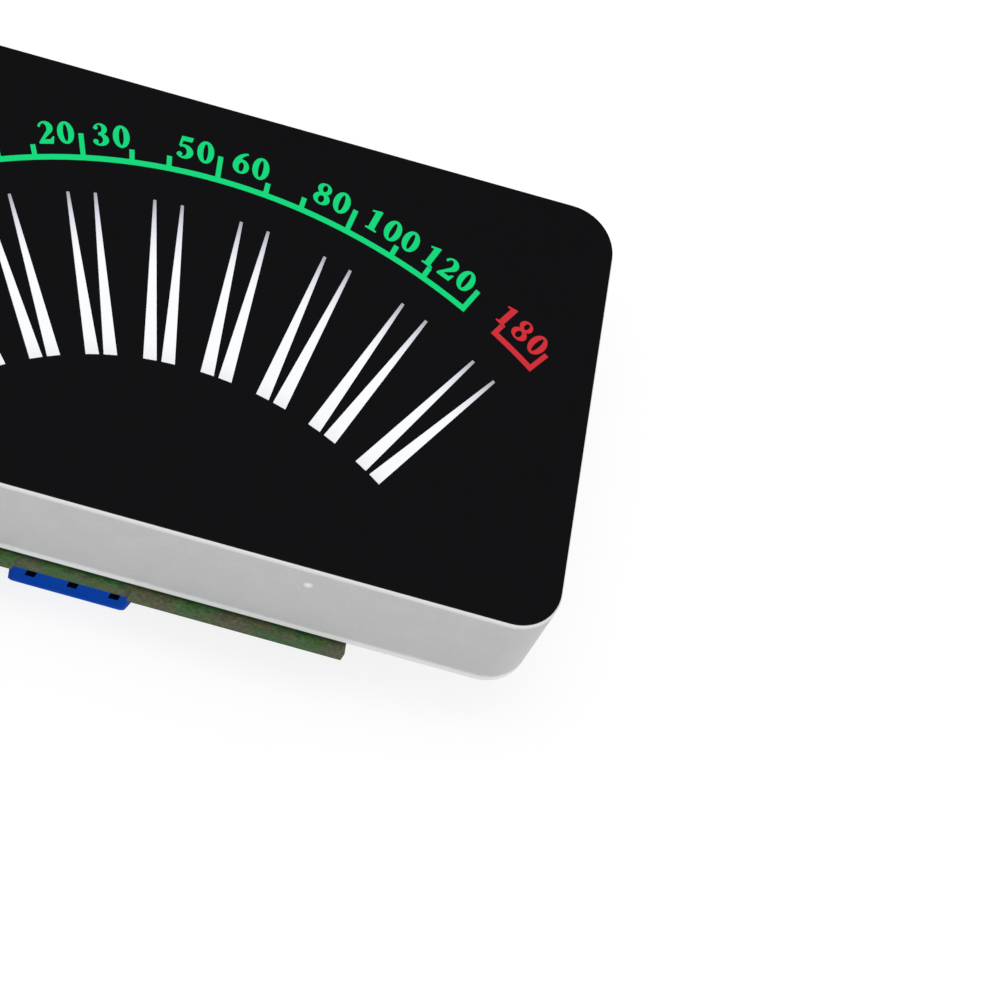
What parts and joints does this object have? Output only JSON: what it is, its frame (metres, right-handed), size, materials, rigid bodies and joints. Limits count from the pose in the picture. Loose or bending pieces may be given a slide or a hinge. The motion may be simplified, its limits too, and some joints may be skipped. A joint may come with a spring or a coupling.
{
  "type": "led level indicator module",
  "caption": "Shallow rounded display box with a black dial face: paired white needle windows fan out under a green arc scale, and a driver board with screw terminals sits behind.",
  "frame": {"origin": "middle of the footprint, on the surface that the rear terminals and capacitors lie on", "axes": "+X to the dial's right, +Y up the dial, +Z out of the face"},
  "size_m": [0.096, 0.0586, 0.0272],
  "materials": {
    "housing_grey": "fine moulded grain",
    "film_black": "satin film",
    "window_white": "milky cast resin",
    "print_green": "screen print",
    "print_red": "screen print",
    "board_green": "solder resist over glass laminate",
    "lamp_resin": "clear resin over phosphor",
    "pin_brass": "bright plated",
    "strip_black": "moulded",
    "solder_tin": "bright solder",
    "chip_black": "moulded epoxy",
    "can_aluminium": "drawn can",
    "base_black": "moulded",
    "resistor_black": "glazed",
    "ceramic_tan": "fired ceramic",
    "trimmer_blue": "moulded",
    "rotor_ivory": "moulded",
    "terminal_blue": "moulded",
    "contact_brass": "stamped",
    "screw_steel": "zinc plated"
  },
  "bodies": {
    "display": {"housing_shell": "housing_grey", "face_film": "film_black", "needle_windows": "window_white", "scale_lines": "print_green", "scale_numerals": "print_green", "overload_lines": "print_red", "overload_numerals": "print_red", "lamp_board": "board_green", "needle_lamps": "lamp_resin", "link_pins": "pin_brass", "link_strips": "strip_black", "driver_board": "board_green", "solder_joints": "solder_tin", "lamp_driver_chip": "chip_black", "control_chip": "chip_black", "preamp_chip": "chip_black", "chip_leads": "solder_tin", "regulator": "chip_black", "regulator_tab": "solder_tin", "capacitor_bases": "base_black", "capacitor_cans": "can_aluminium", "resistors": "resistor_black", "ceramic_capacitors": "ceramic_tan", "small_part_ends": "solder_tin", "trimmer_bodies": "trimmer_blue", "trimmer_legs": "solder_tin", "audio_terminal": "terminal_blue", "power_terminal": "terminal_blue", "terminal_contacts": "contact_brass"},
    "audio_screw_left": {"audio_screw_left": "screw_steel"},
    "audio_cage_left": {"audio_cage_left": "contact_brass"},
    "audio_screw_ground": {"audio_screw_ground": "screw_steel"},
    "audio_cage_ground": {"audio_cage_ground": "contact_brass"},
    "audio_screw_right": {"audio_screw_right": "screw_steel"},
    "audio_cage_right": {"audio_cage_right": "contact_brass"},
    "power_screw_minus": {"power_screw_minus": "screw_steel"},
    "power_cage_minus": {"power_cage_minus": "contact_brass"},
    "power_screw_plus": {"power_screw_plus": "screw_steel"},
    "power_cage_plus": {"power_cage_plus": "contact_brass"},
    "left_gain_rotor": {"left_gain_rotor": "rotor_ivory"},
    "right_gain_rotor": {"right_gain_rotor": "rotor_ivory"}
  },
  "joints": [
    {"name": "audio_screw_left_turn", "type": "hinge", "parent": "display", "child": "audio_screw_left", "pos_m": [-0.00893, -0.02085, 0.004], "axis": [0, 0, 1], "range_deg": [0, 1600]},
    {"name": "audio_cage_left_lift", "type": "slide", "parent": "display", "child": "audio_cage_left", "axis": [0, 0, -1], "range_m": [0, 0.002]},
    {"name": "audio_screw_ground_turn", "type": "hinge", "parent": "display", "child": "audio_screw_ground", "pos_m": [-0.00385, -0.02085, 0.004], "axis": [0, 0, 1], "range_deg": [0, 1600]},
    {"name": "audio_cage_ground_lift", "type": "slide", "parent": "display", "child": "audio_cage_ground", "axis": [0, 0, -1], "range_m": [0, 0.002]},
    {"name": "audio_screw_right_turn", "type": "hinge", "parent": "display", "child": "audio_screw_right", "pos_m": [0.00123, -0.02085, 0.004], "axis": [0, 0, 1], "range_deg": [0, 1600]},
    {"name": "audio_cage_right_lift", "type": "slide", "parent": "display", "child": "audio_cage_right", "axis": [0, 0, -1], "range_m": [0, 0.002]},
    {"name": "power_screw_minus_turn", "type": "hinge", "parent": "display", "child": "power_screw_minus", "pos_m": [-0.02139, -0.02085, 0.004], "axis": [0, 0, 1], "range_deg": [0, 1600]},
    {"name": "power_cage_minus_lift", "type": "slide", "parent": "display", "child": "power_cage_minus", "axis": [0, 0, -1], "range_m": [0, 0.002]},
    {"name": "power_screw_plus_turn", "type": "hinge", "parent": "display", "child": "power_screw_plus", "pos_m": [-0.01631, -0.02085, 0.004], "axis": [0, 0, 1], "range_deg": [0, 1600]},
    {"name": "power_cage_plus_lift", "type": "slide", "parent": "display", "child": "power_cage_plus", "axis": [0, 0, -1], "range_m": [0, 0.002]},
    {"name": "left_gain_turn", "type": "hinge", "parent": "display", "child": "left_gain_rotor", "pos_m": [0.00977, -0.02105, 0.006], "axis": [0, 0, 1], "range_deg": [-130, 130]},
    {"name": "right_gain_turn", "type": "hinge", "parent": "display", "child": "right_gain_rotor", "pos_m": [0.01917, -0.02105, 0.006], "axis": [0, 0, 1], "range_deg": [-130, 130]}
  ],
  "couplings": [
    {"joint": "audio_screw_left_turn", "follows": "audio_cage_left_lift", "rad_per_m": 13960},
    {"joint": "audio_screw_ground_turn", "follows": "audio_cage_ground_lift", "rad_per_m": 13960},
    {"joint": "audio_screw_right_turn", "follows": "audio_cage_right_lift", "rad_per_m": 13960},
    {"joint": "power_screw_minus_turn", "follows": "power_cage_minus_lift", "rad_per_m": 13960},
    {"joint": "power_screw_plus_turn", "follows": "power_cage_plus_lift", "rad_per_m": 13960}
  ]
}
